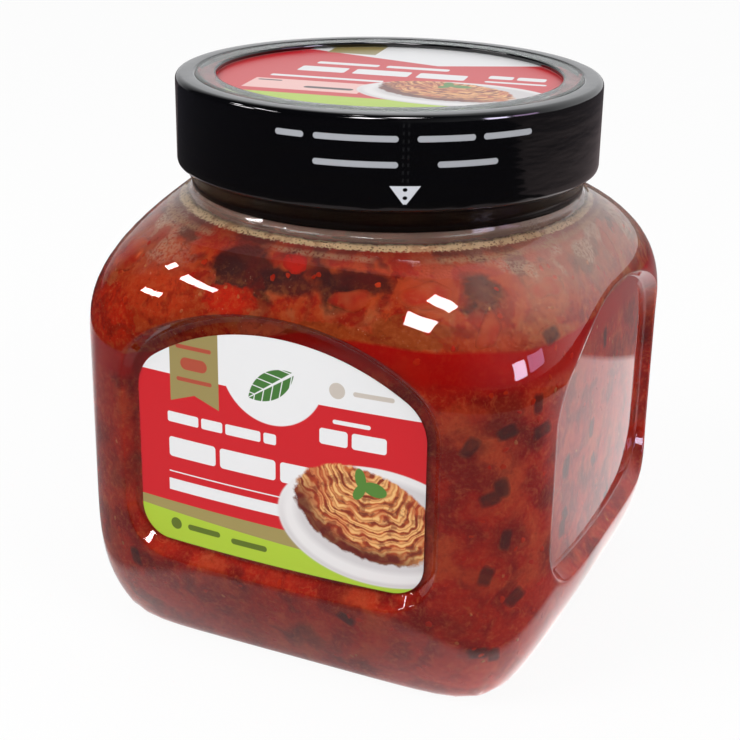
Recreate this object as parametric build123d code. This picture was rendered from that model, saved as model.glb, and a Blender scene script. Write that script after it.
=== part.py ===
from build123d import *
from math import cos, hypot, pi, radians, sin, sqrt
import os

# A wide-mouthed clear jar with a rounded-square body, packed with kimchi. Each of its four
# sides has a sunk, arch-topped panel, and the front one holds a paper label. A black screw cap
# with a round label sits on the neck, and a shrunk film sleeve wraps the cap down to the neck.
#
# Frame: millimetres, the jar stands on Z = 0 with its axis on Z. The front label faces -Y.

# ---- Driving sizes of the body ---------------------------------------------------------------
body_width = 126.0  # over the middles of two opposite sides
body_height = 105.8  # from the standing face up to the root of the neck
body_squareness = 4.0  # exponent of the cross-section: 2 is a circle, higher is squarer
base_squareness = 8.0  # the same exponent at the foot
wall = 1.1  # thickness of the plastic

heel_tuck = 11.7  # how far the heel draws in from the side towards the foot
heel_height = 32.0  # height at which the side becomes upright
heel_fullness = 1.9  # power of the heel's curve: 1 is a straight taper
foot_height = 3.0  # height of the rounded edge round the standing face
foot_tuck = 0.7  # how far that edge rolls in

shoulder_drop = 30.8  # from the neck's root down to where the shoulder starts
shoulder_fullness = 2.35  # power of the shoulder's curve: higher keeps it full for longer
shoulder_end = 2.2  # how far the shoulder's last flat ring stands out from the neck
shoulder_ring_rise = 1.2  # how much that ring climbs towards the neck
neck_step = 0.4  # little ledge left round the neck

base_dome_radius = 36.0  # radius of the shallow hollow under the base
base_dome_rise = 2.2  # its depth

# ---- Sunk panels -----------------------------------------------------------------------------
panel_sink = 3.4  # depth of a panel's floor below the middle of its side
panel_floor_radius = 420.0  # the floor is a slice of an upright cylinder of this radius
panel_inset_side = 23.0  # from the body's side to the edge of the panel
panel_bottom = 28.2  # height of the panel's lower edge
panel_top_drop = 16.0  # from the neck's root down to the top of the arch
panel_arch_radius = 60.0  # radius of the arch's crown
panel_shoulder_radius = 14.5  # where the crown turns down into the upright edges
panel_corner_radius = 11.0  # the two lower corners
panel_bevel = 0.85  # how far the edge leans out for each millimetre of depth

# ---- Neck, cap and sleeve --------------------------------------------------------------------
neck_diameter = 95.6  # outside of the neck
neck_height = 25.9  # from its root to the sealing rim
cap_skirt_play = 1.9  # gap between the neck and the inside of the skirt
cap_thickness = 1.6  # skirt and top plate
cap_rim_width = 4.5  # flat raised rim round the recess in the top
cap_recess = 1.5  # depth of that recess
cap_skirt_height = 20.6  # full height of the cap
cap_top_round = 1.5  # rounding of the top outer edge
cap_low_round = 1.0  # rounding of the skirt's lower edge

film = 0.2  # thickness of the shrunk sleeve
film_play = 0.05  # gap between the sleeve and what it wraps
film_overhang = 4.9  # how far its top flange reaches in past the cap's rim
film_lip_clearance = 0.23  # its free inner edge hangs down to this far above the round label
film_neck_length = 1.8  # how far it hugs the neck
film_gather = 3.8  # height over which it draws in from the skirt to the neck

# ---- Labels ----------------------------------------------------------------------------------
label_clearance_side = 1.8  # front label's edge inside the edge of the panel's floor, at the sides
label_clearance_low = 0.45  # and below
label_margin_top = 3.9  # and inside the panel's edge above
label_thickness = 0.12
label_play = 0.1  # glue line under a label
cap_label_margin = 0.4  # between the round label and the wall of the recess

# ---- Contents --------------------------------------------------------------------------------
fill_drop = 3.4  # mean level of the contents below the neck's root
fill_play = 0.2  # gap left between the contents and the wall
lump_height = 1.5  # how far the uneven top rises and falls
lump_length = 34.0  # spacing of its lumps

# ---- Sizes that follow -----------------------------------------------------------------------
half_width = body_width / 2
neck_radius = neck_diameter / 2
shoulder_start = body_height - shoulder_drop
shoulder_top_radius = neck_radius + shoulder_end
neck_top = body_height + neck_height
cap_top = neck_top + cap_thickness + cap_recess
cap_radius = neck_radius + cap_skirt_play + cap_thickness
cap_bottom = cap_top - cap_skirt_height
recess_radius = cap_radius - cap_rim_width
panel_half = half_width - panel_inset_side
panel_top = body_height - panel_top_drop
panel_floor = half_width - panel_sink
panel_side_sag = panel_floor_radius - sqrt(panel_floor_radius**2 - panel_half**2)
panel_corner_start = panel_half - panel_corner_radius
panel_corner_sag = panel_floor_radius - sqrt(panel_floor_radius**2 - panel_corner_start**2)
label_margin_side = panel_bevel * panel_side_sag + label_clearance_side
label_margin_low = panel_bevel * panel_corner_sag + label_clearance_low
film_lip = cap_recess + film_play - label_play - label_thickness - film_lip_clearance
base_dome_sphere = (base_dome_radius**2 + base_dome_rise**2) / (2 * base_dome_rise)

section_points = 44  # the section's closed curve is drawn through this many points
side_stations = 13  # sections between the foot and the shoulder
tool_reach = 6.0  # how far a cutting tool runs past what it cuts


def reach(half, squareness, angle):
    """Distance from the axis to the wall, where |x|^n + |y|^n = half^n."""
    power = abs(cos(angle)) ** squareness + abs(sin(angle)) ** squareness
    return half / power ** (1 / squareness)


def section(half, squareness, height):
    """Rounded-square outline at one height, as one smooth closed curve."""
    points = []
    for i in range(section_points):
        angle = 2 * pi * i / section_points
        r = reach(half, squareness, angle)
        points.append((r * cos(angle), r * sin(angle), height))
    return Wire([Edge.make_spline(points, periodic=True)])


def wall_at(height):
    """Half width and squareness of the body at a height, from the foot to the neck's root."""
    if height <= shoulder_start:
        heel = max(0, 1 - height / heel_height) ** heel_fullness
        foot = max(0, 1 - height / foot_height) ** 2
        half = half_width - heel_tuck * heel - foot_tuck * foot
        return half, body_squareness + (base_squareness - body_squareness) * heel
    blend = 1 - ((height - shoulder_start) / shoulder_drop) ** shoulder_fullness
    half = shoulder_top_radius + (half_width - shoulder_top_radius) * blend
    return half, 2 + (body_squareness - 2) * blend


def station_heights():
    """Heights of the body's sections: close together on the foot, evenly spread above it."""
    foot = [foot_height * step for step in (0, 0.5, 1)]
    side_rise = (shoulder_start - foot_height) / side_stations
    side = [foot_height + side_rise * (i + 1) for i in range(side_stations)]
    shoulder = [shoulder_start + shoulder_drop * step for step in (0.18, 0.35, 0.51, 0.66, 0.79, 0.9)]
    return foot + side + shoulder + [body_height]


def arch(spread, reach_out):
    """Outline of a panel, grown by spread all round, on the upright plane y = -reach_out."""
    half = panel_half + spread
    low, high = panel_bottom - spread, panel_top + spread
    crown, shoulder = panel_arch_radius + spread, panel_shoulder_radius + spread
    return arch_wire(half, low, high, crown, shoulder, panel_corner_radius + spread, reach_out)


def arch_wire(half, low, high, crown, shoulder, corner, reach_out):
    """Flat base, rounded lower corners, upright edges and a crown with rounded shoulders."""
    crown_centre = high - crown
    shoulder_x = half - shoulder
    shoulder_z = crown_centre + sqrt((crown - shoulder) ** 2 - shoulder_x**2)
    length = hypot(shoulder_x, shoulder_z - crown_centre)
    lean_x, lean_z = shoulder_x / length, (shoulder_z - crown_centre) / length
    turn_x, turn_z = crown * lean_x, crown_centre + crown * lean_z
    bow_length = hypot(1 + lean_x, lean_z)
    bow_x = shoulder_x + shoulder * (1 + lean_x) / bow_length
    bow_z = shoulder_z + shoulder * lean_z / bow_length
    corner_mid = corner * (1 - sqrt(0.5))

    def at(x, z):
        return (x, -reach_out, z)

    return Wire(
        [
            Edge.make_line(at(corner - half, low), at(half - corner, low)),
            Edge.make_three_point_arc(
                at(half - corner, low), at(half - corner_mid, low + corner_mid), at(half, low + corner)
            ),
            Edge.make_line(at(half, low + corner), at(half, shoulder_z)),
            Edge.make_three_point_arc(at(half, shoulder_z), at(bow_x, bow_z), at(turn_x, turn_z)),
            Edge.make_three_point_arc(at(turn_x, turn_z), at(0, high), at(-turn_x, turn_z)),
            Edge.make_three_point_arc(at(-turn_x, turn_z), at(-bow_x, bow_z), at(-half, shoulder_z)),
            Edge.make_line(at(-half, shoulder_z), at(-half, low + corner)),
            Edge.make_three_point_arc(
                at(-half, low + corner), at(corner_mid - half, low + corner_mid), at(corner - half, low)
            ),
        ]
    )


def floor_cylinder(radius_change):
    """Upright cylinder whose skin is the front panel's floor, moved out by radius_change."""
    radius = panel_floor_radius + radius_change
    height = body_height + 2 * tool_reach
    centre = Pos(0, panel_floor_radius - panel_floor, body_height / 2)
    return centre * Cylinder(radius, height)


def panel_cutter(inset):
    """What the front panel takes away from the body, or from an offset of it by inset."""
    near = panel_floor - 2 * tool_reach
    far = half_width + tool_reach
    outlines = [
        arch(inset + panel_bevel * (near - panel_floor), near),
        arch(inset + panel_bevel * (far - panel_floor), far),
    ]
    return Solid.make_loft(outlines, ruled=True) - floor_cylinder(-inset)


def envelope(inset, neck_end):
    """Body and neck as one solid, with every face moved in by inset and the neck cut at neck_end."""
    outlines = []
    for height in station_heights():
        half, squareness = wall_at(height)
        outlines.append(section(half - inset, squareness, height))
    ring_height = body_height + shoulder_ring_rise
    outlines.append(section(neck_radius + neck_step - inset, 2, ring_height))
    body = Solid.make_loft(outlines)
    below = Pos(0, 0, inset) * Box(
        3 * body_width, 3 * body_width, 2 * tool_reach, align=(Align.CENTER, Align.CENTER, Align.MAX)
    )
    neck_start = body_height - tool_reach
    neck = Pos(0, 0, neck_start) * Cylinder(
        neck_radius - inset,
        neck_end - neck_start,
        align=(Align.CENTER, Align.CENTER, Align.MIN),
    )
    dome = Pos(0, 0, base_dome_rise - base_dome_sphere) * Sphere(base_dome_sphere + inset)
    shape = body + neck - below - dome
    cutter = panel_cutter(inset)
    for quarter in range(4):
        shape = shape - Rot(0, 0, 90 * quarter) * cutter
    return shape


def make_jar():
    """Clear body, open at the top: the outside less the inside."""
    return envelope(0, neck_top) - envelope(wall, neck_top + tool_reach)


def top_height(x, y):
    """Height of the contents' uneven top: three slow waves that cross each other."""
    turn = 2 * pi / lump_length
    waves = (
        sin(turn * x + 0.6) * cos(turn * 0.8 * y)
        + 0.6 * sin(turn * 0.55 * (x + y) + 2.1)
        + 0.4 * cos(turn * 1.3 * y - 0.5)
    )
    return body_height - fill_drop + lump_height * waves / 2


def make_kimchi():
    """Packed contents: the inside of the jar, up to an uneven top."""
    inside = envelope(wall + fill_play, body_height + tool_reach)
    side = body_width * 1.2
    count = 15
    grid = [side * (i / (count - 1) - 0.5) for i in range(count)]
    rows = [[Vector(x, y, top_height(x, y)) for y in grid] for x in grid]
    top = Face.make_surface_from_array_of_points(rows)
    above = extrude(top, amount=body_height, dir=(0, 0, 1))
    return inside - above


def make_cap():
    """Screw cap: a skirt and a plate with a raised rim, resting on the neck's sealing rim."""
    inner = cap_radius - cap_thickness
    with BuildPart() as cap:
        with BuildSketch(Plane.XZ):
            with BuildLine():
                Polyline(
                    (0, neck_top),
                    (inner, neck_top),
                    (inner, cap_bottom),
                    (cap_radius, cap_bottom),
                    (cap_radius, cap_top),
                    (recess_radius, cap_top),
                    (recess_radius, cap_top - cap_recess),
                    (0, cap_top - cap_recess),
                    close=True,
                )
            make_face()
        revolve(axis=Axis.Z)
        outer = cap.edges().filter_by(GeomType.CIRCLE).sort_by(SortBy.RADIUS)[-2:].sort_by(Axis.Z)
        fillet(outer[1], cap_top_round)
        low = cap.edges().filter_by(GeomType.CIRCLE).group_by(Axis.Z)[0].sort_by(SortBy.RADIUS)[-1]
        fillet(low, cap_low_round)
    return cap.part


def make_sleeve():
    """Shrunk film: lip, top flange, side, the draw-in under the skirt and a short neck band."""
    inner = cap_radius + film_play
    lip = recess_radius - film_overhang
    flange = cap_top + film_play
    hug = neck_radius + film_play
    turn = cap_bottom - film_play
    gather = turn - film_gather
    path = FilletPolyline(
        (lip, flange - film_lip),
        (lip, flange),
        (inner, flange),
        (inner, turn),
        (hug, gather),
        (hug, gather - film_neck_length),
        radius=[film / 2, cap_top_round + film_play, cap_low_round, cap_low_round],
    )
    outline = path.wire().offset_2d(film, kind=Kind.ARC, side=Side.LEFT, closed=True)
    return revolve(Plane.XZ * make_face(outline), axis=Axis.Z)


def make_front_label():
    """Paper label on the front panel's floor, bent to the floor's curve."""
    half = panel_half - label_margin_side
    low = panel_bottom + label_margin_low
    high = panel_top - label_margin_top
    crown = panel_arch_radius - label_margin_side
    shoulder = panel_shoulder_radius - label_margin_side
    corner = panel_corner_radius - label_margin_side
    outlines = []
    for reach_out in (panel_floor - 2 * tool_reach, panel_floor + tool_reach):
        outlines.append(arch_wire(half, low, high, crown, shoulder, corner, reach_out))
    block = Solid.make_loft(outlines, ruled=True)
    sheet = floor_cylinder(label_play + label_thickness) - floor_cylinder(label_play)
    return block & sheet


def make_cap_label():
    """Round paper label on the floor of the cap's recess."""
    base = cap_top - cap_recess + label_play
    return Pos(0, 0, base) * Cylinder(
        recess_radius - cap_label_margin, label_thickness, align=(Align.CENTER, Align.CENTER, Align.MIN)
    )


parts = {
    "jar": make_jar(),
    "kimchi": make_kimchi(),
    "cap": make_cap(),
    "sleeve": make_sleeve(),
    "front_label": make_front_label(),
    "cap_label": make_cap_label(),
}

os.makedirs("parts", exist_ok=True)
for name, shape in parts.items():
    export_step(shape, f"parts/{name}.step")
    print(name, round(shape.volume / 1000, 2), "ml")
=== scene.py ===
"""The looks of a jar of kimchi: a clear square jar, its contents, a black cap, a film sleeve and two labels.

Sizes are millimetres until a mesh is written, where they become metres. The front looks along +Y.
"""
import logging
import math
from collections.abc import Sequence
from dataclasses import dataclass
from enum import Enum

import bpy
import numpy as np
from mathutils import Matrix, Vector


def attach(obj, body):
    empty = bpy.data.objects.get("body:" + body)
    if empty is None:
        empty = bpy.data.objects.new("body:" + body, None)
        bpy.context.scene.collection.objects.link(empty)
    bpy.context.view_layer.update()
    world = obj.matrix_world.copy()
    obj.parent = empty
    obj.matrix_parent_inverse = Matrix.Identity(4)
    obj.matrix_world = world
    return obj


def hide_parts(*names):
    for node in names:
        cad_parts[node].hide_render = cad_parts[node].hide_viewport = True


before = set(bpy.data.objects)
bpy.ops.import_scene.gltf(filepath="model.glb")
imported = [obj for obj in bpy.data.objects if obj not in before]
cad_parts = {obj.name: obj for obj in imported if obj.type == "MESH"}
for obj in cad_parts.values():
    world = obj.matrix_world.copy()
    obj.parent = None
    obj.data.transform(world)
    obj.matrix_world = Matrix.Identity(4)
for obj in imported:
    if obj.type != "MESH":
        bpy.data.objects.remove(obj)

MM = 0.001
TOUCHING = 1e-6
WELD_STEPS = 500.0
WELD_SHIFT = 0.137
LOG = logging.getLogger("kimchi_jar")

Colour = tuple[float, float, float]


def paint(red: int, green: int, blue: int) -> Colour:
    """Linear colour of an 8-bit screen colour: a straight line in the darks, a power above them.

    Args:
        red: red, 0 to 255.
        green: green, 0 to 255.
        blue: blue, 0 to 255.

    Returns:
        The three values, 0 to 1.
    """
    value = np.array([red, green, blue]) / 255.0
    linear = np.where(value <= 0.04045, value / 12.92, ((value + 0.055) / 1.055) ** 2.4)
    return tuple(float(v) for v in linear)


# ---------------------------------------------------------------- shader wiring


class Wire:
    """One output socket of a node tree, with arithmetic that adds Math nodes."""

    def __init__(self, net: "Net", socket: bpy.types.NodeSocket):
        """Wraps a socket of the net."""
        self.net = net
        self.socket = socket

    def math(self, operation: str, *values: "Wire | float") -> "Wire":
        """Adds one Math node.

        Args:
            operation: the Math node's operation.
            values: what goes into its sockets, in order.

        Returns:
            The node's result.
        """
        node = self.net.add("ShaderNodeMath", {"operation": operation}, dict(enumerate(values)))
        return Wire(self.net, node.outputs[0])

    def __add__(self, other: "Wire | float") -> "Wire":
        """self + other."""
        return self.math("ADD", self, other)

    __radd__ = __add__

    def __sub__(self, other: "Wire | float") -> "Wire":
        """self - other."""
        return self.math("SUBTRACT", self, other)

    def __rsub__(self, other: float) -> "Wire":
        """other - self."""
        return self.math("SUBTRACT", other, self)

    def __mul__(self, other: "Wire | float") -> "Wire":
        """self * other."""
        return self.math("MULTIPLY", self, other)

    __rmul__ = __mul__

    def __truediv__(self, other: "Wire | float") -> "Wire":
        """self / other."""
        return self.math("DIVIDE", self, other)

    def __abs__(self) -> "Wire":
        """Size without sign."""
        return self.math("ABSOLUTE", self)

    def most(self, other: "Wire | float") -> "Wire":
        """The larger of two values."""
        return self.math("MAXIMUM", self, other)

    def sine(self) -> "Wire":
        """Sine of radians."""
        return self.math("SINE", self)

    def span(self, other: "Wire") -> "Wire":
        """Root of the sum of two values' squares."""
        return self.math("SQRT", self * self + other * other)

    def bearing(self, x: "Wire") -> "Wire":
        """Angle round the upright axis, in radians, of a point whose y this is."""
        return self.math("ARCTAN2", self, x)

    def over(self, edge: "Wire | float", soft: float = 0.12) -> "Wire":
        """A mask that is 1 where the value lies over an edge.

        Args:
            edge: where the mask is half.
            soft: width of the change.

        Returns:
            The mask, kept within 0 and 1.
        """
        node = self.net.add("ShaderNodeMath", {"operation": "MULTIPLY_ADD", "use_clamp": True},
                            {0: self - edge, 1: 1.0 / soft, 2: 0.5})
        return Wire(self.net, node.outputs[0])

    def under(self, edge: "Wire | float", soft: float = 0.12) -> "Wire":
        """A mask that is 1 where the value lies under an edge."""
        return 1.0 - self.over(edge, soft)

    def between(self, low: "Wire | float", high: "Wire | float", soft: float = 0.12) -> "Wire":
        """A mask that is 1 between two edges."""
        return self.over(low, soft) * self.under(high, soft)


class Tint:
    """A colour in a node tree that other colours are laid over."""

    def __init__(self, net: "Net", value: "Colour | bpy.types.NodeSocket"):
        """Starts from a plain colour or a colour socket."""
        self.net = net
        self.value = value

    def lay(self, mask: "Wire | float", colour: "Colour | Tint") -> "Tint":
        """Lays a colour over this one.

        Args:
            mask: how much of the new colour shows.
            colour: the new colour.

        Returns:
            The mixed colour.
        """
        node = self.net.add("ShaderNodeMix", {"data_type": "RGBA"}, {0: mask, 6: self, 7: colour})
        return Tint(self.net, node.outputs[2])

    def coats(self, *layers: "tuple[Wire | float, Colour | Tint]") -> "Tint":
        """Lays several colours over this one, in order.

        Args:
            layers: each a mask and a colour.

        Returns:
            The mixed colour.
        """
        colour = self
        for mask, tone in layers:
            colour = colour.lay(mask, tone)
        return colour


class Net:
    """A node tree with short ways to add nodes."""

    def __init__(self, tree: bpy.types.NodeTree):
        """Empties the tree."""
        self.tree = tree
        tree.nodes.clear()

    def feed(self, socket: bpy.types.NodeSocket, value: object) -> None:
        """Gives a socket a value or a link.

        Args:
            socket: the input.
            value: a wire, a tint, a socket, a number or a colour.
        """
        if isinstance(value, Wire):
            value = value.socket
        if isinstance(value, Tint):
            value = value.value
        if isinstance(value, bpy.types.NodeSocket):
            self.tree.links.new(value, socket)
        elif socket.type == "RGBA":
            socket.default_value = (*value[:3], 1.0)
        else:
            socket.default_value = value

    def add(self, kind: str, settings: dict[str, object] | None = None,
            inputs: dict[int | str, object] | None = None) -> bpy.types.Node:
        """Adds one node.

        Args:
            kind: the node's type.
            settings: properties, set before the sockets.
            inputs: values or links of the input sockets.

        Returns:
            The node.
        """
        node = self.tree.nodes.new(kind)
        for name, value in (settings or {}).items():
            setattr(node, name, value)
        for key, value in (inputs or {}).items():
            self.feed(node.inputs[key], value)
        return node

    def wire(self, node: bpy.types.Node, output: int | str = 0) -> Wire:
        """An output of a node as a wire."""
        return Wire(self, node.outputs[output])

    def place(self) -> tuple[Wire, Wire, Wire]:
        """The point's own x, y and z in millimetres."""
        source = self.add("ShaderNodeTexCoord").outputs["Object"]
        split = self.add("ShaderNodeSeparateXYZ", None, {0: source})
        return tuple(self.wire(split, axis) * (1.0 / MM) for axis in range(3))

    def vector(self, x: "Wire | float", y: "Wire | float", z: "Wire | float") -> bpy.types.NodeSocket:
        """Three values as one vector socket."""
        return self.add("ShaderNodeCombineXYZ", None, {0: x, 1: y, 2: z}).outputs[0]

    def noise(self, where: bpy.types.NodeSocket, size: float, detail: float = 2.0,
              rough: float = 0.5) -> Wire:
        """Cloudy noise between 0 and 1.

        Args:
            where: the point, in millimetres.
            size: width of one cloud in millimetres.
            detail: octaves.
            rough: strength of the finer octaves.

        Returns:
            The value.
        """
        node = self.add("ShaderNodeTexNoise", {"noise_dimensions": "3D"},
                        {"Vector": where, "Scale": 1.0 / size, "Detail": detail, "Roughness": rough})
        return self.wire(node)

    def cloud(self, size: float, detail: float = 2.0, rough: float = 0.5) -> Wire:
        """The noise at the point's own place."""
        return self.noise(self.vector(*self.place()), size, detail, rough)

    def cells(self, where: bpy.types.NodeSocket, size: float) -> Wire:
        """Distance from the middle of a chance cell, in cell widths.

        Args:
            where: the point, in millimetres.
            size: width of one cell in millimetres.

        Returns:
            The distance.
        """
        return self.wire(self.add("ShaderNodeTexVoronoi", None, {"Vector": where, "Scale": 1.0 / size}))

    def bump(self, height: Wire, strength: float, distance: float) -> bpy.types.NodeSocket:
        """A bumped normal.

        Args:
            height: the relief.
            strength: how much of it shows.
            distance: its height in millimetres.

        Returns:
            The normal.
        """
        node = self.add("ShaderNodeBump", None,
                        {"Strength": strength, "Distance": distance * MM, "Height": height})
        return node.outputs[0]

    def mix(self, factor: Wire | float, first: bpy.types.Node, second: bpy.types.Node) -> bpy.types.Node:
        """Two shaders mixed."""
        return self.add("ShaderNodeMixShader", None, {0: factor, 1: first.outputs[0], 2: second.outputs[0]})


@dataclass(frozen=True)
class Finish:
    """One surface finish; what is even over a surface is set on the shader itself."""

    name: str
    colour: Colour
    roughness: float = 0.4
    specular: float = 0.5
    ior: float = 1.5
    clear: float = 0.0

    def shader(self, net: Net, **varying: object) -> bpy.types.Node:
        """The finish as a Principled shader.

        Args:
            net: the tree to add it to.
            varying: what changes over the surface, by socket name with _ for blanks.

        Returns:
            The shader node.
        """
        inputs = {"Base Color": self.colour, "Roughness": self.roughness, "Specular IOR Level": self.specular,
                  "IOR": self.ior, "Transmission Weight": self.clear}
        inputs.update({name.replace("_", " "): value for name, value in varying.items()})
        return net.add("ShaderNodeBsdfPrincipled", None, inputs)


def new_material(name: str) -> tuple[bpy.types.Material, Net]:
    """An empty material.

    Args:
        name: its name.

    Returns:
        The material and the net of its nodes.
    """
    material = bpy.data.materials.new(name)
    material.use_nodes = True
    return material, Net(material.node_tree)


def close_material(net: Net, shader: bpy.types.Node) -> None:
    """Links a shader to the tree's output."""
    net.add("ShaderNodeOutputMaterial", None, {"Surface": shader.outputs[0]})


# ---------------------------------------------------------------- meshes


def quads(rings: int, count: int, start: int = 0) -> np.ndarray:
    """Faces between closed rings of points.

    Args:
        rings: number of rings.
        count: points in a ring.
        start: index of the first point.

    Returns:
        Faces as rows of four indices.
    """
    here = start + np.arange(rings * count).reshape(rings, count)
    after = np.roll(here, -1, axis=1)
    return np.stack([here[:-1], after[:-1], after[1:], here[1:]], axis=-1).reshape(-1, 4)


def fan(ring: np.ndarray, middle: int) -> np.ndarray:
    """Triangles from a closed ring of points to one point, all given by their indices."""
    return np.column_stack([ring, np.roll(ring, -1), np.full(len(ring), middle)])


def edge_at(points: np.ndarray, height: float) -> np.ndarray:
    """The points at a height, in order round the axis, each once.

    Args:
        points: rows of x, y and z.
        height: the height.

    Returns:
        The points there.
    """
    edge = points[np.abs(points[:, 2] - height) < TOUCHING]
    edge = edge[np.argsort(np.arctan2(edge[:, 1], edge[:, 0]))]
    return edge[np.linalg.norm(edge - np.roll(edge, 1, axis=0), axis=1) > TOUCHING]


def turned(profile: np.ndarray, angles: np.ndarray) -> np.ndarray:
    """A profile's rows of radius and height carried to each angle round the axis, as rows of points."""
    return np.stack([profile[:, :1] * np.cos(angles), profile[:, :1] * np.sin(angles),
                     np.broadcast_to(profile[:, 1:], (len(profile), len(angles)))], axis=-1)


def facing_out(points: np.ndarray, faces: np.ndarray, centre: Sequence[float]) -> np.ndarray:
    """Turns a part's faces over if they look towards a point inside it.

    Args:
        points: the corners.
        faces: the faces.
        centre: a point inside.

    Returns:
        The faces, looking away from it.
    """
    corner = points[faces]
    normal = np.cross(corner[:, 1] - corner[:, 0], corner[:, 2] - corner[:, 0])
    away = (corner.mean(axis=1) - np.asarray(centre)) * normal
    return faces[:, ::-1] if away.sum() < 0 else faces


def weld(points: np.ndarray, parts: list[np.ndarray]) -> tuple[np.ndarray, list[np.ndarray]]:
    """Joins points that round to the same place, to 1 / WELD_STEPS of a millimetre.

    Args:
        points: all corners.
        parts: arrays of faces.

    Returns:
        The corners that remain, and the faces on them.
    """
    key = np.round(points * WELD_STEPS + WELD_SHIFT).astype(np.int64)
    _, first, inverse = np.unique(key, axis=0, return_index=True, return_inverse=True)
    inverse = inverse.reshape(-1)
    return points[first], [inverse[faces] for faces in parts]


def point_normals(points: np.ndarray, parts: list[np.ndarray]) -> np.ndarray:
    """Unit normals at the corners, the mean of the faces around each.

    Args:
        points: the corners.
        parts: arrays of faces.

    Returns:
        One normal for each corner.
    """
    total = np.zeros_like(points)
    for faces in parts:
        corner = points[faces]
        normal = np.cross(corner[:, 2] - corner[:, 0], corner[:, -1] - corner[:, 1])
        for column in range(faces.shape[1]):
            np.add.at(total, faces[:, column], normal)
    return total / np.maximum(np.linalg.norm(total, axis=1, keepdims=True), 1e-9)


def make_piece(name: str, points: np.ndarray, parts: list[np.ndarray], material: bpy.types.Material,
               smooth: bool = True) -> bpy.types.Object:
    """A mesh object in the scene.

    Args:
        name: the object's name.
        points: corners in millimetres.
        parts: arrays of faces, each with rows of three or four indices.
        material: its finish.
        smooth: whether its faces shade smoothly.

    Returns:
        The object.
    """
    mesh = bpy.data.meshes.new(name)
    mesh.from_pydata((points * MM).tolist(), [], [row for faces in parts for row in faces.tolist()])
    mesh.polygons.foreach_set("use_smooth", np.full(len(mesh.polygons), smooth))
    mesh.materials.append(material)
    mesh.update()
    piece = bpy.data.objects.new(name, mesh)
    bpy.context.scene.collection.objects.link(piece)
    return piece


def spin(profile: np.ndarray, count: int, centre: Sequence[float]) -> tuple[np.ndarray, np.ndarray]:
    """A closed profile turned about the upright axis.

    Args:
        profile: rows of radius and height, which run back to the first.
        count: steps round.
        centre: a point inside the solid at each turn, as radius and height.

    Returns:
        Points and faces, looking out of the profile.
    """
    rows = np.vstack([profile, profile[:1]])
    points = turned(rows, np.linspace(0, 2 * math.pi, count, endpoint=False)).reshape(-1, 3)
    faces = quads(len(rows), count)
    corner = points[faces]
    normal = np.cross(corner[:, 1] - corner[:, 0], corner[:, 2] - corner[:, 0])
    middle = corner.mean(axis=1)
    flat = middle[:, :2] / np.linalg.norm(middle[:, :2], axis=1, keepdims=True)
    core = np.column_stack([flat * centre[0], np.full(len(middle), centre[1])])
    return points, faces[:, ::-1] if ((middle - core) * normal).sum() < 0 else faces


def facing_ring(points: np.ndarray, faces: np.ndarray) -> np.ndarray:
    """Turns a closed ring's faces so that its volume, from its corners' triple products, is positive.

    Args:
        points: the corners.
        faces: faces of four corners.

    Returns:
        The faces, looking out.
    """
    first, second, third, fourth = (points[faces[:, column]] for column in range(4))
    volume = (np.cross(first, second) * third).sum() + (np.cross(first, third) * fourth).sum()
    return faces if volume > 0 else faces[:, ::-1]


def finish_piece(piece: bpy.types.Object, slot: str, *nodes: str) -> None:
    """Hands a piece to the frame.

    Args:
        piece: the object.
        slot: not used.
        nodes: CAD nodes that it stands for.
    """
    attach(piece, "root")
    if nodes:
        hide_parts(*nodes)
    LOG.info("%s: %d faces", piece.name, len(piece.data.polygons))


def dress_node(node: str, material: bpy.types.Material) -> None:
    """Puts a material on a CAD node, in place of what it has.

    Args:
        node: the node's name.
        material: the material.
    """
    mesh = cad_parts[node].data
    mesh.materials.clear()
    mesh.materials.append(material)


# ---------------------------------------------------------------- body form


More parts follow.
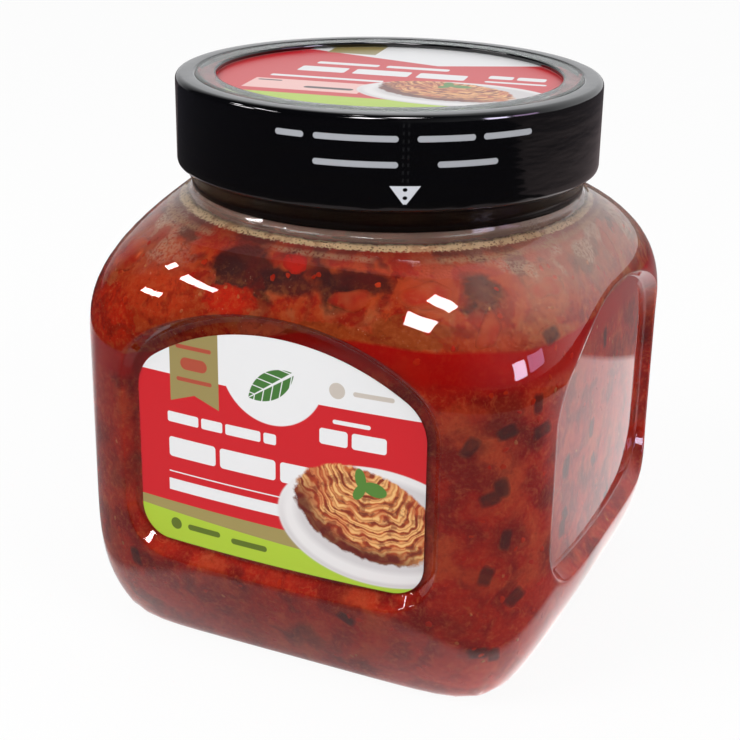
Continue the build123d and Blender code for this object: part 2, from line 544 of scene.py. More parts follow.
@dataclass(frozen=True)
class BodyForm:
    """The jar's body: a rounded square that changes with height, with a sunk arched panel on each side."""

    half_width: float = 63.0
    height: float = 105.8
    wall: float = 1.1
    squareness: float = 4.0
    base_squareness: float = 8.0
    heel_height: float = 32.0
    heel_tuck: float = 11.7
    heel_fullness: float = 1.9
    foot_height: float = 3.0
    foot_tuck: float = 0.7
    shoulder_start: float = 75.0
    shoulder_fullness: float = 2.35
    top_radius: float = 50.0
    panel_level: float = 59.6
    panel_radius: float = 420.0
    panel_half: float = 40.0
    panel_bottom: float = 28.2
    panel_top: float = 89.8
    crown_radius: float = 60.0
    arch_radius: float = 14.5
    corner_radius: float = 11.0
    flare: float = 0.85
    middle: float = 60.0
    dome_radius: float = 36.0
    dome_rise: float = 2.2
    neck_radius: float = 47.8
    neck_top: float = 131.7
    ring_radius: float = 48.2
    ring_height: float = 107.0
    settling: int = 30
    neck_rows = (115.0, 124.0)
    panel_rows = (0.0, 0.12, 0.25, 0.4, 0.55, 0.7, 0.82, 0.91, 0.965, 0.99)
    step_rows = (0.05, 0.2, 0.5, 0.8, 0.95)
    wall_rows = (0.02, 0.06, 0.12, 0.2, 0.29, 0.38, 0.47, 0.56, 0.65, 0.74, 0.82, 0.89, 0.945, 0.98, 1.0)
    base_rows = (1.0, 0.985, 0.95, 0.88, 0.8, 0.7, 0.55, 0.4, 0.25, 0.12)

    def shape(self, z: np.ndarray) -> tuple[np.ndarray, np.ndarray]:
        """Section of the body: the heel draws in as a power of the height left below its end, the shoulder
        as a power of the height above its start.

        Args:
            z: heights.

        Returns:
            Half the width and the squareness at each.
        """
        heel = np.clip(1 - z / self.heel_height, 0, 1) ** self.heel_fullness
        foot = np.clip(1 - z / self.foot_height, 0, 1) ** 2
        rise = np.clip((z - self.shoulder_start) / (self.height - self.shoulder_start), 0, 1)
        blend = 1 - rise ** self.shoulder_fullness
        half = self.top_radius + (self.half_width - self.top_radius) * blend
        half = half - self.heel_tuck * heel - self.foot_tuck * foot
        power = 2 + (self.squareness - 2) * blend + (self.base_squareness - self.squareness) * heel
        return half, power

    def reach(self, turn: np.ndarray, z: np.ndarray) -> np.ndarray:
        """Distance of the wall from the axis at an angle from a side's middle: half the width over the root
        of the summed powers of sine and cosine."""
        half, power = self.shape(z)
        return half / (np.abs(np.sin(turn)) ** power + np.abs(np.cos(turn)) ** power) ** (1 / power)

    def wall_depth(self, x: np.ndarray, z: np.ndarray) -> np.ndarray:
        """Distance of a side's wall from the middle plane, x off its centre line."""
        half, power = self.shape(z)
        return half * np.clip(1 - (np.abs(x) / half) ** power, 1e-6, 1) ** (1 / power)

    def panel_floor(self, x: np.ndarray) -> np.ndarray:
        """Distance of a panel's floor from the middle plane: a large cylinder."""
        return self.panel_level - (self.panel_radius - np.sqrt(self.panel_radius ** 2 - x ** 2))

    def outline(self) -> tuple[np.ndarray, np.ndarray]:
        """The panel's outline at its level, from tangent arcs and lines.

        Returns:
            Points and unit outward normals, once round, the same left and right.
        """
        crown_low = self.panel_top - self.crown_radius
        shoulder_x = self.panel_half - self.arch_radius
        shoulder_z = crown_low + math.sqrt((self.crown_radius - self.arch_radius) ** 2 - shoulder_x ** 2)
        meet = math.atan2(shoulder_z - crown_low, shoulder_x)
        corner_x, corner_z = self.panel_half - self.corner_radius, self.panel_bottom + self.corner_radius

        def arc(cx: float, cz: float, radius: float, start: float, end: float, count: int) -> np.ndarray:
            """An arc.

            Args:
                cx: its centre across.
                cz: its centre's height.
                radius: its radius.
                start: the angle it starts at.
                end: the angle it ends at.
                count: number of points.

            Returns:
                Rows of a point and its normal.
            """
            turn = np.linspace(start, end, count)
            way = np.column_stack([np.cos(turn), np.sin(turn)])
            return np.hstack([np.array([cx, cz]) + radius * way, way])

        def line(x0: float, z0: float, x1: float, z1: float, way: tuple[float, float],
                 count: int) -> np.ndarray:
            """A line without its ends.

            Args:
                x0: its start across.
                z0: its start's height.
                x1: its end across.
                z1: its end's height.
                way: its normal.
                count: number of points, ends included.

            Returns:
                Rows of a point and its normal.
            """
            step = np.linspace(0, 1, count)[1:-1, None]
            spots = np.array([x0, z0]) * (1 - step) + np.array([x1, z1]) * step
            return np.hstack([spots, np.broadcast_to(way, spots.shape)])

        half = np.vstack([
            arc(0, crown_low, self.crown_radius, math.pi / 2, meet, 16),
            arc(shoulder_x, shoulder_z, self.arch_radius, meet, 0, 13)[1:],
            line(self.panel_half, shoulder_z, self.panel_half, corner_z, (1, 0), 13),
            arc(corner_x, corner_z, self.corner_radius, 0, -math.pi / 2, 12),
            line(corner_x, self.panel_bottom, 0, self.panel_bottom, (0, -1), 12),
            np.array([[0, self.panel_bottom, 0, -1]])])
        left = half[1:-1][::-1] * np.array([-1, 1, -1, 1])
        whole = np.vstack([half, left])
        return whole[:, :2], whole[:, 2:]

    def side(self, top: float) -> np.ndarray:
        """One side as rings of points, from the middle of its panel out to its own quarter of the body. They
        run over the panel's floor, up its sloping step to where it meets the wall, and out over the wall.

        Args:
            top: height at which the side ends.

        Returns:
            Rings of x, y and z, the first all at one point.
        """
        spots, ways = self.outline()
        low = np.zeros(len(spots))
        high = np.zeros(len(spots))
        for _ in range(self.settling):
            low = self.flare * (self.panel_floor((spots + ways * low[:, None])[:, 0]) - self.panel_level)
            edge = spots + ways * high[:, None]
            depth = self.wall_depth(edge[:, 0], edge[:, 1]) - self.panel_level
            high = 0.5 * (high + self.flare * depth)
        high = np.maximum(high, low + 0.3)
        centre = np.array([0.0, self.middle])
        floor_edge = spots + ways * low[:, None]
        rows = []
        for share in self.panel_rows:
            flat = centre + share * (floor_edge - centre)
            rows.append(np.column_stack([flat[:, 0], -self.panel_floor(flat[:, 0]), flat[:, 1]]))
        for share in self.step_rows:
            off = low + share * (high - low)
            flat = spots + ways * off[:, None]
            rows.append(np.column_stack([flat[:, 0], -(self.panel_level + off / self.flare), flat[:, 1]]))
        edge = spots + ways * high[:, None]
        angle = np.arctan2(edge[:, 0], self.wall_depth(edge[:, 0], edge[:, 1]))
        inner = np.column_stack([angle / (math.pi / 4) * self.half_width, edge[:, 1]])
        way = inner - centre
        limit = np.column_stack([np.full(len(way), self.half_width),
                                 np.where(way[:, 1] > 0, top - self.middle, self.middle)])
        outer = centre + way * (limit / np.maximum(np.abs(way), 1e-9)).min(axis=1)[:, None]
        for across, up in ((-1, 0), (1, 0), (-1, 1), (1, 1)):
            spot = np.array([across * self.half_width, up * top])
            outer[np.argmin(np.linalg.norm(outer - spot, axis=1))] = spot
        for share in self.wall_rows:
            flat = inner + share * (outer - inner)
            angle = flat[:, 0] / self.half_width * math.pi / 4
            reach = self.reach(angle, flat[:, 1])
            rows.append(np.column_stack([reach * np.sin(angle), -reach * np.cos(angle), flat[:, 1]]))
        return np.array(rows)

    def skin(self, top: float, neck: bool) -> tuple[np.ndarray, list[np.ndarray], np.ndarray]:
        """The outer surface: four sides, the base with its hollow, and the neck if wanted.

        Args:
            top: height at which the sides end.
            neck: whether the neck stands on them.

        Returns:
            Welded points, faces looking out, and the top edge's points in order.
        """
        rings = self.side(top)
        count = rings.shape[1]
        points: list[np.ndarray] = []
        parts: list[np.ndarray] = []
        start = 0
        for quarter in range(4):
            cosine, sine = math.cos(quarter * math.pi / 2), math.sin(quarter * math.pi / 2)
            rotate = np.array([[cosine, -sine, 0], [sine, cosine, 0], [0, 0, 1]])
            points.append(rings.reshape(-1, 3) @ rotate.T)
            parts.append(quads(len(rings) - 1, count, start=start + count))
            parts.append(fan(start + count + np.arange(count), start))
            start += len(points[-1])
        edge = np.vstack([side[-count:] for side in points])
        base = edge_at(edge, 0.0)
        under = base[None] * np.array(self.base_rows)[:, None, None]
        sphere = (self.dome_radius ** 2 + self.dome_rise ** 2) / (2 * self.dome_rise)
        radius = np.minimum(np.linalg.norm(under[..., :2], axis=-1), self.dome_radius)
        under[..., 2] = np.maximum(np.sqrt(sphere ** 2 - radius ** 2) - sphere + self.dome_rise, 0)
        points += [under.reshape(-1, 3), np.array([[0, 0, self.dome_rise]])]
        parts.append(quads(len(under), len(base), start=start))
        start += len(points[-2])
        parts.append(fan(start - len(base) + np.arange(len(base)), start))
        start += 1
        rim = edge_at(edge, top)
        if neck:
            profile = np.array([[self.top_radius, self.height], [self.top_radius - 0.5, self.height + 0.45],
                                [self.ring_radius + 0.3, self.ring_height - 0.1],
                                [self.ring_radius, self.ring_height],
                                [self.neck_radius, self.ring_height + 0.3],
                                *([self.neck_radius, height] for height in self.neck_rows),
                                [self.neck_radius, self.neck_top]])
            points.append(turned(profile, np.arctan2(rim[:, 1], rim[:, 0])).reshape(-1, 3))
            parts.append(quads(len(profile), len(rim), start=start))
        joined = np.vstack(points)
        joined, parts = weld(joined, [facing_out(joined, faces, (0, 0, self.middle)) for faces in parts])
        return joined, parts, rim

    def spot(self, turn: np.ndarray, z: np.ndarray) -> np.ndarray:
        """Points on the outer wall, panels and all: the smaller of the wall's reach and that of the panel,
        whose floor slopes up outside its outline.

        Args:
            turn: angles round the axis, in radians.
            z: heights.

        Returns:
            Rows of x, y and z.
        """
        local = (turn + math.pi / 4) % (math.pi / 2) - math.pi / 4
        spots, ways = self.outline()
        reach = self.reach(local, z)
        for _ in range(6):
            flat = np.column_stack([reach * np.sin(local), z])
            outside = ((flat[:, None, :] - spots[None]) * ways[None]).sum(axis=2).max(axis=1)
            level = np.maximum(self.panel_floor(flat[:, 0]), self.panel_level + outside / self.flare)
            reach = np.minimum(self.reach(local, z), level / np.cos(local))
        return np.column_stack([reach * np.cos(turn), reach * np.sin(turn), z])

    def frames(self, turn: np.ndarray,
               z: np.ndarray) -> tuple[np.ndarray, np.ndarray, np.ndarray, np.ndarray]:
        """Points on the outer wall with their directions, from the points a small step beside them.

        Args:
            turn: angles round the axis, in radians.
            z: heights.

        Returns:
            The points, and unit directions along, up and out.
        """
        step, rise = 0.01, 0.4
        here = self.spot(turn, z)
        along = self.spot(turn + step, z) - self.spot(turn - step, z)
        up = self.spot(turn, z + rise) - self.spot(turn, z - rise)
        along /= np.linalg.norm(along, axis=1, keepdims=True)
        out = np.cross(along, up)
        out /= np.linalg.norm(out, axis=1, keepdims=True)
        return here, along, np.cross(out, along), out


# ---------------------------------------------------------------- jar


@dataclass(frozen=True)
class ClearJar:
    """The clear plastic jar, a skin of even wall open at the neck."""

    form: BodyForm
    finish: Finish = Finish("clear_plastic", (0.985, 0.98, 0.975), 0.02, 0.5, 1.5, 1.0)
    haze: Finish = Finish("haze", paint(212, 172, 154), 0.45, 0.3)
    front: float = -97.0
    mist: tuple[float, float] = (106.3, 112.0)
    fog: tuple[float, float] = (92.0, 105.9)

    def material(self) -> bpy.types.Material:
        """Clear plastic with a breath of mist on the neck and the outer shoulders."""
        material, net = new_material(self.finish.name)
        x, y, z = net.place()
        mist = z.between(*self.mist, 0.8) * (0.07 + 0.27 * net.cloud(6.0, 4.0, 0.6))
        aside = abs(y.bearing(x) - math.radians(self.front)).over(0.95, 0.7)
        fog = z.between(*self.fog, 7.0) * aside * (0.06 + 0.40 * net.cloud(9.0, 3.0, 0.6))
        close_material(net, net.mix(mist.most(fog), self.finish.shader(net), self.haze.shader(net)))
        return material

    def build(self) -> None:
        """The jar's mesh: the outer skin, the same skin moved in by the wall, and the lip between them."""
        points, parts, _ = self.form.skin(self.form.height, neck=True)
        normals = point_normals(points, parts)
        inner = points - normals * self.form.wall
        total = len(points)
        top = np.flatnonzero(np.abs(points[:, 2] - self.form.neck_top) < TOUCHING)
        top = top[np.argsort(np.arctan2(points[top, 1], points[top, 0]))]
        inner[top] = points[top] * np.array([1 - self.form.wall / self.form.neck_radius] * 2 + [1])
        lip = np.column_stack([top, np.roll(top, -1), np.roll(top, -1) + total, top + total])
        whole = parts + [faces[:, ::-1] + total for faces in parts] + [lip]
        piece = make_piece("clear_jar", np.vstack([points, inner]), whole, self.material())
        finish_piece(piece, "clear_plastic", "jar")


# ---------------------------------------------------------------- contents


class Layer(Enum):
    """Heights in the contents, in millimetres."""

    BRINE = 88.3
    TOP = 102.4


class Sauce:
    """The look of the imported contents, by height and by chance; loose pieces fade into it."""

    DEEP = paint(194, 34, 18)
    DULL = paint(132, 22, 17)
    GLOW = paint(232, 116, 62)
    BRIGHT = paint(220, 52, 20)
    CLEAR_RED = paint(200, 10, 1)
    # colour of the painted shade in the gaps between lumps
    GAP_SHADE = paint(70, 28, 26)
    TAN = paint(206, 136, 80)
    ARC_RADIUS = 60.0
    SWING = 26.0
    FRONT = -80.0
    DARK_FROM = 96.5
    FROTH = (86.5, 96.0)
    LIT_TO = 98.0
    FILM_FROM = 95.0
    RING = (103.2, 104.1)
    LUMPS = (
        (-118.6, 90.5, 12.0, 6.0, paint(218, 70, 26)), (-129.0, 82.0, 9.0, 8.0, paint(224, 54, 16)),
        (-101.0, 92.5, 6.5, 3.4, paint(226, 48, 18)), (-92.5, 87.0, 7.5, 3.2, paint(212, 92, 58)),
        (-58.9, 98.6, 5.6, 2.6, paint(210, 82, 40)), (-31.1, 96.8, 6.4, 4.6, paint(216, 104, 52)),
        (-87.5, 101.4, 3.4, 1.8, paint(216, 34, 14)), (-76.5, 88.6, 11.0, 3.0, paint(190, 78, 26)),
        (-61.0, 91.6, 8.0, 3.2, paint(180, 80, 30)), (-48.0, 90.0, 8.0, 2.6, paint(196, 66, 24)),
        (-68.0, 84.6, 12.0, 2.4, paint(206, 64, 20)), (-4.0, 93.0, 9.0, 5.0, paint(196, 70, 30)),
        (40.0, 91.0, 11.0, 5.5, paint(206, 72, 28)), (78.0, 96.0, 9.0, 4.5, paint(216, 100, 50)),
        (112.0, 90.0, 12.0, 5.0, paint(200, 60, 24)), (150.0, 93.0, 10.0, 5.0, paint(214, 96, 46)),
        (-160.0, 92.0, 10.0, 5.0, paint(202, 66, 26)))
    # gaps between lumps as bearing, height, half width and half height; each is filled with painted shade
    SHADED_GAPS = (
        (-89.5, 97.6, 9.0, 2.5), (-72.0, 99.6, 10.0, 2.4), (-104.0, 99.0, 5.0, 2.2), (-46.0, 98.5, 4.5, 2.6),
        (-12.0, 99.0, 8.0, 3.0), (24.0, 97.0, 7.0, 3.0), (60.0, 99.0, 9.0, 2.6), (98.0, 98.0, 8.0, 3.0),
        (170.0, 98.5, 9.0, 3.0))

    def __init__(self, net: Net):
        """Prepares the noises that all layers share.

        Args:
            net: the tree they are added to.
        """
        self.net = net
        x, y, z = net.place()
        self.height = z
        self.raw = net.vector(x, y, z)
        self.turn = y.bearing(x)
        bend = net.noise(self.raw, 9.0, 3.0, 0.55)
        other = net.noise(net.vector(y, z, x), 11.0, 2.0, 0.5)
        self.where = net.vector(x + (bend - 0.5) * 16.0, y + (other - 0.5) * 16.0, z + (bend - other) * 12.0)
        self.fine = net.noise(self.raw, 1.7, 4.0, 0.62)
        self.grain = net.noise(self.raw, 0.7, 3.0, 0.7)
        self.middle = net.noise(self.where, 6.0, 3.0, 0.6)
        self.broad = net.noise(self.where, 15.0, 2.0, 0.5)
        drawn = net.vector((x + bend * self.SWING) * 1.7, (y + other * self.SWING) * 1.7,
                           (z + bend * self.SWING) * 0.5)
        self.fibre = net.noise(drawn, 3.4, 3.0, 0.6)
        self.level = z + (net.noise(self.raw, 26.0, 1.0) - 0.5) * 3.0 + x.under(-14.0, 40.0) * 12.0

    def deep(self) -> Tint:
        """Below the brine line: red sauce with soft pale leaves, fibres, and hollows darkened with painted
        shade.
        """
        soft = self.net.noise(self.where, 8.0, 1.0, 0.4)
        hollow = self.net.cells(self.where, 13.0)
        return Tint(self.net, self.DEEP).coats(
            (soft.over(0.54, 0.22) * 0.55, self.BRIGHT),
            (self.broad.over(0.61, 0.2) * 0.5, self.GLOW),
            (soft.under(0.42, 0.2) * 0.6, self.DULL),
            # painted shade: dark spots in the hollows between leaves
            (hollow.under(0.20, 0.3) * 0.55, paint(96, 24, 22)),
            (self.fibre.over(0.60, 0.07) * self.middle.over(0.47, 0.1) * 0.3, self.GLOW),
            (self.fine.over(0.60, 0.16) * 0.25, self.GLOW),
            (self.fine.under(0.40, 0.16) * 0.22, self.DULL),
            (self.grain.over(0.58, 0.14) * 0.12, paint(232, 130, 84)),
            (self.grain.under(0.40, 0.14) * 0.14, paint(104, 16, 14)),
            (self.level.over(81.0, 3.0) * 0.85, self.CLEAR_RED))

    def lump(self, turn: float, z: float, wide: float, tall: float) -> Wire:
        """Ragged distance from a lump's middle, 1 at its edge.

        Args:
            turn: its bearing in degrees.
            z: its height.
            wide: half its width in millimetres.
            tall: half its height.

        Returns:
            The distance in shares of its size.
        """
        across = (self.turn - math.radians(turn)) * (self.ARC_RADIUS / wide)
        rise = (self.height - z) / tall
        return across.span(rise) + (self.middle - 0.5) * 1.1 + (self.fine - 0.5) * 0.12

    def airy(self) -> Tint:
        """Above it: wet lumps and froth, with painted shade in the gaps between lumps that grows towards the
        top, and painted glints lower down.
        """
        net = self.net
        clumps = net.noise(self.where, 10.0, 1.0, 0.4)
        hollow = (clumps - 0.5) * 2.6 + (self.broad - 0.5) * 2.0
        # painted shade: gaps between lumps, more of them and darker towards the top
        dark = ((self.height - self.DARK_FROM) * 0.075 + hollow).over(0.42, 0.3)
        froth = self.height.between(*self.FROTH, 4.0) * self.broad.over(0.52, 0.06)
        colour = Tint(net, paint(192, 44, 16)).coats(
            (self.middle.over(0.52, 0.12) * 0.7, paint(212, 86, 34)),
            (self.fine.over(0.56, 0.16) * 0.25, paint(214, 92, 42)),
            (froth * (0.3 + 0.35 * net.cells(self.raw, 1.3)), self.TAN),
            (froth * self.fine.over(0.57, 0.08) * 0.6, paint(176, 60, 26)),
            (dark * (0.7 + 0.3 * self.middle), self.GAP_SHADE))
        for gap in self.SHADED_GAPS:
            colour = colour.lay(self.lump(*gap).under(0.95, 0.4) * 0.85, self.GAP_SHADE)
        for *place, tone in self.LUMPS:
            away = self.lump(*place)
            # each lump in its colour, with painted shade darkening a ring at its edge
            colour = colour.coats((away.under(1.0, 0.12), tone),
                                  (away.between(0.78, 1.0, 0.2) * 0.25, paint(130, 30, 12)))
        lit = self.height.under(self.LIT_TO, 5.0)
        aside = abs(self.turn - math.radians(self.FRONT)).over(0.72, 0.35)
        outer = aside * self.height.over(self.FILM_FROM, 6.0)
        film = net.noise(self.raw, 14.0, 2.0, 0.55)
        ring = self.height.between(*self.RING, 0.5) * film.over(0.46, 0.1) * self.grain.over(0.44, 0.12)
        # below LIT_TO, painted light on the lumps: lighter flecks, darker spots, and near-white specks that
        # are painted wet glints
        return colour.coats(
            (lit * self.fine.over(0.56, 0.14) * 0.22, paint(232, 132, 66)),
            (lit * self.middle.under(0.42, 0.10) * 0.5, paint(150, 24, 10)),
            (lit * self.grain.over(0.62, 0.12) * 0.10, paint(236, 150, 92)),
            (lit * self.grain.over(0.70, 0.05) * self.broad.over(0.48, 0.1) * 0.7, paint(250, 206, 160)),
            (outer * film.over(0.42, 0.25) * 0.5, paint(200, 138, 112)),
            (outer * film.over(0.58, 0.05) * self.grain.over(0.46, 0.1) * 0.7, paint(226, 196, 164)),
            (ring * 0.7, paint(214, 170, 124)),
            (self.fine.under(0.37, 0.08) * 0.3, paint(84, 22, 16)))

    def colour(self) -> Tint:
        """Both layers, parted at the brine line."""
        return self.deep().lay(self.level.over(Layer.BRINE.value, 0.7), self.airy())


@dataclass(frozen=True)
class Contents:
    """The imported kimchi: one core that reaches into the wall, its shapes painted and in relief."""

    form: BodyForm
    inset: float = 0.5
    wave_length: float = 34.0
    wave_height: float = 0.75
    lid_rows = (1.0, 0.97, 0.92, 0.86, 0.8, 0.73, 0.66, 0.58, 0.5, 0.42, 0.34, 0.26, 0.18, 0.1)
    finish: Finish = Finish("contents", Sauce.DEEP, 0.5, 0.12, 1.34)

    def material(self) -> bpy.types.Material:
        """Sauce, leaves, froth and voids darkened with painted shade, by height."""
        material, net = new_material(self.finish.name)
        sauce = Sauce(net)
        relief = net.bump(sauce.middle * sauce.level.over(88.0, 2.0), 0.35, 0.8)
        close_material(net, self.finish.shader(net, Base_Color=sauce.colour(), Normal=relief))
        return material

    def lid(self, rim: np.ndarray) -> np.ndarray:
        """The uneven top: rings that shrink from its rim, raised by three crossing sine waves that fade out
        at the rim.

        Args:
            rim: the top edge of the sides.

        Returns:
            Rings of x, y and z.
        """
        shrink = np.array(self.lid_rows)
        rings = rim[None] * np.column_stack([shrink, shrink, np.ones(len(shrink))])[:, None, :]
        x, y = (2 * math.pi / self.wave_length * rings[..., axis] for axis in (0, 1))
        waves = (np.sin(x + 0.6) * np.cos(0.8 * y) + 0.6 * np.sin(0.55 * (x + y) + 2.1)
                 + 0.4 * np.cos(1.3 * y - 0.5))
        rings[..., 2] += self.wave_height * waves * np.clip((1 - shrink) * 8, 0, 1)[:, None]
        return rings

    def build(self) -> None:
        """The core: the body's own form moved in by half a wall, closed by the lumpy top."""
        points, parts, rim = self.form.skin(Layer.TOP.value, neck=False)
        start = len(points)
        lid = self.lid(rim)
        middle = start + lid.shape[0] * lid.shape[1]
        points = np.vstack([points, lid.reshape(-1, 3), [[0, 0, float(lid[-1, :, 2].mean())]]])
        lids = [quads(len(lid), len(rim), start=start), fan(middle - len(rim) + np.arange(len(rim)), middle)]
        points, parts = weld(points, parts + [facing_out(points, faces, (0, 0, 0)) for faces in lids])
        points = points - point_normals(points, parts) * self.inset
        finish_piece(make_piece("kimchi_core", points, parts, self.material()), "contents", "kimchi")


@dataclass(frozen=True)
class Bits:
    """Loose pieces pressed against the inside of the wall: many copies of one flat lump."""

    form: BodyForm
    name: str
    count: int
    length: float
    width: float
    proud: float
    low: float
    high: float
    colours: tuple[Colour, Colour]
    squareness: float = 3.0
    seed: int = 1
    fade: float = 0.5
    cover: float = 0.9
    wobble: float = 0.12
    steps: int = 16
    spots: tuple[tuple[float, float, float], ...] = ()
    depth: float = 0.5
    arc_radius: float = 60.0
    least_level: float = 0.94

    def template(self) -> tuple[np.ndarray, np.ndarray, np.ndarray]:
        """A pillow with a rounded rectangle's outline, from powers of sine and cosine: rings that shrink as
        they rise.

        Returns:
            Points, faces between the rings, and the faces that close the top and the underside.
        """
        steps = self.steps
        turn = np.linspace(0, 2 * math.pi, steps, endpoint=False)
        power = self.squareness
        reach = 1 / (np.abs(np.cos(turn)) ** power + np.abs(np.sin(turn)) ** power) ** (1 / power)
        flat = np.column_stack([np.cos(turn), np.sin(turn)]) * reach[:, None]
        shares = np.array([1.0, 0.94, 0.8, 0.56])
        rises = np.array([-1.0, 0.0, 0.6, 1.0])
        rings = np.concatenate([flat[None] * shares[:, None, None],
                                np.broadcast_to(rises[:, None, None], (4, steps, 1))], axis=-1)
        points = np.vstack([rings.reshape(-1, 3), [[0, 0, 1.0]], [[0, 0, -1.0]]])
        ring = np.arange(steps)
        top = fan(3 * steps + ring, 4 * steps)
        low = fan(ring, 4 * steps + 1)[:, ::-1]
        return points, quads(4, steps), np.vstack([top, low])

    def material(self) -> bpy.types.Material:
        """A wet surface between two colours, chosen by place, that sinks into the sauce towards its edge."""
        material, net = new_material(self.name)
        sauce = Sauce(net)
        choice = net.noise(sauce.raw, 7.0, 2.0, 0.6).over(0.5, 0.25)
        colour = Tint(net, self.colours[0]).lay(choice.most(sauce.fine.over(0.6, 0.2) * 0.5), self.colours[1])
        rise = net.wire(net.add("ShaderNodeAttribute", {"attribute_name": "rise"}), "Fac")
        shown = (rise + (sauce.fine - 0.5) * 0.5).over(self.fade, self.fade) * self.cover
        finish = Finish(self.name, self.colours[0], 0.45, 0.12, Contents.finish.ior)
        close_material(net, finish.shader(net, Base_Color=sauce.colour().lay(shown, colour)))
        return material

    def scatter(self, chance: np.random.Generator) -> np.ndarray:
        """Places by chance, after the chosen ones.

        Args:
            chance: the source of chance.

        Returns:
            Rows of bearing, height, tilt and size, without those where the wall bends too much under them.
        """
        turn = chance.uniform(-math.pi, math.pi, self.count)
        z = chance.uniform(self.low, self.high, self.count)
        tilt = chance.uniform(0, math.pi, self.count)
        size = chance.uniform(0.75, 1.2, self.count)
        rows = np.column_stack([turn, z, tilt, size])
        if self.spots:
            bearing, height, tilt = np.array(self.spots).T
            chosen = np.column_stack([np.radians(bearing), height, np.radians(tilt), np.ones(len(height))])
            rows = np.vstack([chosen, rows])
        out = self.form.frames(rows[:, 0], rows[:, 1])[3]
        reach = self.length * 0.5
        flat = np.ones(len(rows), bool)
        for shift, rise in ((1, 0), (-1, 0), (0, 1), (0, -1)):
            turn = rows[:, 0] + shift * reach / self.arc_radius
            beside = self.form.frames(turn, rows[:, 1] + rise * reach)[3]
            flat &= (beside * out).sum(axis=1) > self.least_level
        return rows[flat]

    def build(self) -> None:
        """Copies the template to every place: each copy's outline is swelled by three sine waves of its own,
        laid along the wall, and raised out of it."""
        chance = np.random.default_rng(self.seed)
        turn, z, tilt, size = self.scatter(chance).T
        here, along, up, out = self.form.frames(turn, z)
        points, faces, fans = self.template()
        first = along * np.cos(tilt)[:, None] + up * np.sin(tilt)[:, None]
        second = np.cross(out, first)
        wide = chance.uniform(0.8, 1.2, len(turn)) * self.width
        around = np.arctan2(points[:, 1], points[:, 0])
        phase = chance.uniform(0, 2 * math.pi, (3, len(turn), 1))
        waves = sum(height * np.sin(number * around + phase[row])
                    for row, (number, height) in enumerate(((2, 1.0), (3, 0.8), (5, 0.5))))
        swell = 1 + self.wobble * waves
        spread = here[:, None] + (
            (points[None, :, 0] * swell)[..., None] * first[:, None] * (self.length / 2 * size)[:, None, None]
            + (points[None, :, 1] * swell)[..., None] * second[:, None] * (wide / 2 * size)[:, None, None])
        on_wall = self.form.spot(np.arctan2(spread[..., 1], spread[..., 0]).ravel(), spread[..., 2].ravel())
        lift = points[None, :, 2:] * self.proud - self.depth
        spread = on_wall.reshape(spread.shape) + out[:, None] * lift
        shift = (np.arange(len(turn)) * len(points))[:, None, None]
        parts = [(faces[None] + shift).reshape(-1, 4), (fans[None] + shift).reshape(-1, 3)]
        piece = make_piece(self.name, spread.reshape(-1, 3), parts, self.material())
        rise = np.concatenate([np.repeat([0.0, 0.0, 0.6, 1.0], self.steps), [1.0, 0.0]])
        heights = piece.data.attributes.new("rise", "FLOAT", "POINT")
        heights.data.foreach_set("value", np.tile(rise, len(turn)))
        finish_piece(piece, "contents")


def loose_pieces(form: BodyForm) -> tuple[Bits, ...]:
    """The kinds of loose piece: scallions, chunks, chili flakes and seeds.

    Args:
        form: the body they lie against.

    Returns:
        One group for each kind; the chosen spots give a bearing, a height and a tilt.
    """
    return (
        Bits(form, "scallions", count=44, length=6.6, width=4.2, proud=0.1, low=12, high=86,
             colours=(paint(44, 28, 32), paint(58, 42, 40)), squareness=5.0, seed=3, fade=0.78, cover=0.88,
             wobble=0.05, steps=24,
             spots=((-45.1, 71.3, 20), (-37.9, 69.9, 10), (-51.3, 68.3, 60), (-45.6, 58.2, 100),
                    (-47.5, 55.9, 20), (-52.4, 47.8, 15), (-44.4, 45.5, 80), (-47.7, 37.1, 70),
                    (-42.0, 30.5, 40), (-48.0, 16.9, 5), (-25.1, 38.0, 90), (-18.7, 86.0, 90),
                    (-4.9, 78.1, 100), (12.7, 101.0, 40), (-34.5, 89.7, 10))),
        Bits(form, "chunks", count=16, length=11.0, width=6.5, proud=0.3, low=90, high=101,
             colours=(paint(206, 44, 18), paint(212, 96, 48)), squareness=2.3, seed=11, fade=0.6, cover=0.8,
             wobble=0.14, steps=24,
             spots=((-57.6, 98.7, 10), (-30.8, 97.7, 0), (-96.4, 95.6, 20), (-80.0, 100.5, 0),
                    (-111.0, 91.0, 30), (-73.2, 96.7, 0))),
        Bits(form, "chili_flakes", count=600, length=1.6, width=1.2, proud=0.15, low=6, high=101,
             colours=(paint(206, 30, 10), paint(220, 62, 18)), squareness=2.5, seed=5, fade=0.3, cover=0.85),
        Bits(form, "seeds", count=110, length=1.2, width=0.9, proud=0.15, low=8, high=100,
             colours=(paint(214, 120, 62), paint(226, 160, 96)), squareness=2.0, seed=7, fade=0.3, cover=0.7))


